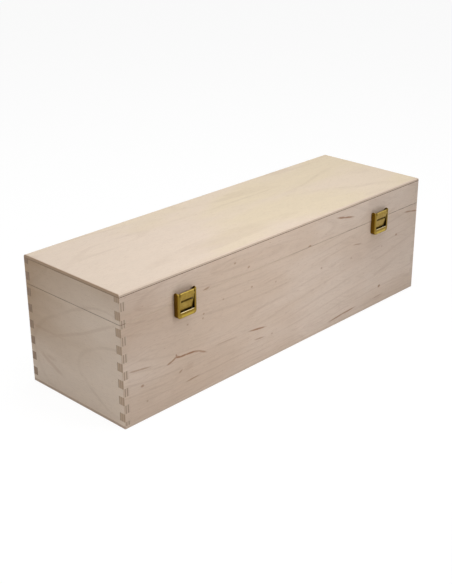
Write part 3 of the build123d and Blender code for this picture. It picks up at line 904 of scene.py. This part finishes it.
@dataclass
class Studio:
    """White table and surroundings, soft light from above, and the photograph's camera."""

    floor_half: float = 6.0
    floor_colour: Colour = (0.80, 0.80, 0.80)
    shown_glow: float = 0.92
    shown_shadow: float = 0.12
    ambient: float = 0.20
    lamps: tuple[SoftBox, ...] = (
        SoftBox("key", (0.0, -0.05, 1.25), (0.0, 0.0, 0.10), 1.0, 10.4),
        SoftBox("front", (0.22, -0.62, 0.42), (0.02, 0.0, 0.07), 0.3, 0.150),
        SoftBox("middle", (-0.04, -0.32, 0.25), (-0.04, -0.06, 0.07), 0.15, 0.26),
        SoftBox("end", (-0.70, -0.16, 0.05), (-0.2, -0.03, 0.05), 0.25, 0.45),
    )
    camera_place: Colour = (-0.72381, -0.68637, 0.48675)
    camera_turn: Colour = (65.97991, 0.34823, -45.86793)
    camera_lens: float = 65.248

    def seen_directly(self, recipe: Recipe) -> Socket:
        """1 for camera, glossy and transmission rays, which see the backdrop as white."""
        path = recipe.add("ShaderNodeLightPath").outputs
        rays = recipe.math("MAXIMUM", path["Is Camera Ray"], path["Is Glossy Ray"])
        return recipe.math("MAXIMUM", rays, path["Is Transmission Ray"])

    def floor_material(self) -> bpy.types.Material:
        """White table that keeps a soft shadow."""
        recipe = Recipe("white_table")
        plain = recipe.add("ShaderNodeBsdfDiffuse", {"Color": (*self.floor_colour, 1.0)}).outputs[0]
        shadow = recipe.add("ShaderNodeBsdfDiffuse", {"Color": (self.shown_shadow,) * 3 + (1.0,)}).outputs[0]
        glow = recipe.add("ShaderNodeEmission", {"Strength": self.shown_glow}).outputs[0]
        shown = recipe.add("ShaderNodeAddShader", {0: shadow, 1: glow}).outputs[0]
        both = recipe.add("ShaderNodeMixShader", {0: self.seen_directly(recipe), 1: plain, 2: shown}).outputs[0]
        return recipe.finish(both)

    def floor(self) -> bpy.types.Object:
        """Flat square table under the box: corners at plus and minus its half side."""
        corner = self.floor_half
        mesh = bpy.data.meshes.new("table")
        corners = [(-corner, -corner, 0), (corner, -corner, 0), (corner, corner, 0), (-corner, corner, 0)]
        mesh.from_pydata(corners, [], [(0, 1, 2, 3)])
        mesh.materials.append(self.floor_material())
        table = bpy.data.objects.new("table", mesh)
        bpy.context.scene.collection.objects.link(table)
        return table

    def surroundings(self) -> bpy.types.World:
        """Even light from all round, seen as white."""
        world = bpy.data.worlds.new("white_room")
        world.use_nodes = True
        tree = world.node_tree
        tree.nodes.clear()
        path = tree.nodes.new("ShaderNodeLightPath")
        rays = [path.outputs[name] for name in ("Is Camera Ray", "Is Glossy Ray", "Is Transmission Ray")]
        seen = rays[0]
        for ray in rays[1:]:
            either = tree.nodes.new("ShaderNodeMath")
            either.operation = "MAXIMUM"
            tree.links.new(seen, either.inputs[0])
            tree.links.new(ray, either.inputs[1])
            seen = either.outputs[0]
        strength = tree.nodes.new("ShaderNodeMapRange")
        strength.inputs["To Min"].default_value = self.ambient
        strength.inputs["To Max"].default_value = 1.0
        tree.links.new(seen, strength.inputs["Value"])
        sky = tree.nodes.new("ShaderNodeBackground")
        sky.inputs["Color"].default_value = (1.0, 1.0, 1.0, 1.0)
        tree.links.new(strength.outputs[0], sky.inputs["Strength"])
        out = tree.nodes.new("ShaderNodeOutputWorld")
        tree.links.new(sky.outputs[0], out.inputs["Surface"])
        bpy.context.scene.world = world
        return world

    def camera(self) -> bpy.types.Object:
        """Camera at the photograph's place, turn and focal length."""
        data = bpy.data.cameras.new("photo_camera")
        data.lens = self.camera_lens
        data.clip_start = 0.01
        camera = bpy.data.objects.new("photo_camera", data)
        camera.location = self.camera_place
        camera.rotation_euler = Euler([math.radians(angle) for angle in self.camera_turn])
        bpy.context.scene.collection.objects.link(camera)
        bpy.context.scene.camera = camera
        return camera

    def build(self) -> None:
        """Set up the camera, the table, the surroundings and the lamps."""
        self.camera()
        self.floor()
        self.surroundings()
        for lamp in self.lamps:
            lamp.build()
        bpy.context.scene.view_settings.view_transform = "Standard"
        log.info("studio ready with %d lamps", len(self.lamps))


def main() -> None:
    """Build the studio and dress the box."""
    logging.basicConfig(level=logging.INFO, format="%(name)s: %(message)s")
    Studio().build()
    log.info("%d boards", Boards().build())
    log.info("%d metal nodes", Hardware().build())


if __name__ == "__main__":
    main()
